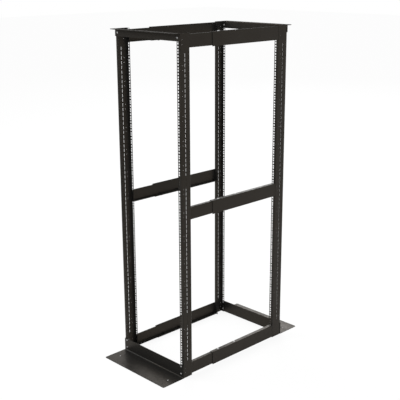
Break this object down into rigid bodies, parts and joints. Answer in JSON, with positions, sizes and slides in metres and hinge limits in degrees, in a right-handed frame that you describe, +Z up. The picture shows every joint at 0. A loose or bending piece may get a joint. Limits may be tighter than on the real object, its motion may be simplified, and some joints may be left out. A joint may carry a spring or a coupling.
{
  "type": "four-post open frame rack",
  "caption": "Open frame equipment rack of folded steel: posts with square-hole flanges on wide feet, tied by top angles and telescoping side rails.",
  "frame": {"origin": "on the floor, under the middle of the rack", "axes": "+X to the right across the equipment bay, +Y to the back along the rails, +Z up"},
  "size_m": [0.506, 1.1148, 1.8669],
  "materials": {
    "black_paint": "semi-gloss black powder coat"
  },
  "bodies": {
    "front_frame": {"front_left_post": "black_paint", "front_right_post": "black_paint", "front_base_angle": "black_paint", "front_top_angle": "black_paint", "left_bottom_inner_rail": "black_paint", "left_middle_inner_rail": "black_paint", "left_top_inner_rail": "black_paint", "right_bottom_inner_rail": "black_paint", "right_middle_inner_rail": "black_paint", "right_top_inner_rail": "black_paint"},
    "back_frame": {"back_left_post": "black_paint", "back_right_post": "black_paint", "back_base_angle": "black_paint", "back_top_angle": "black_paint", "left_bottom_outer_rail": "black_paint", "left_middle_outer_rail": "black_paint", "left_top_outer_rail": "black_paint", "right_bottom_outer_rail": "black_paint", "right_middle_outer_rail": "black_paint", "right_top_outer_rail": "black_paint"}
  },
  "joints": [
    {"name": "depth_slide", "type": "slide", "parent": "front_frame", "child": "back_frame", "axis": [0, 1, 0], "range_m": [-0.15, 0.104]}
  ]
}
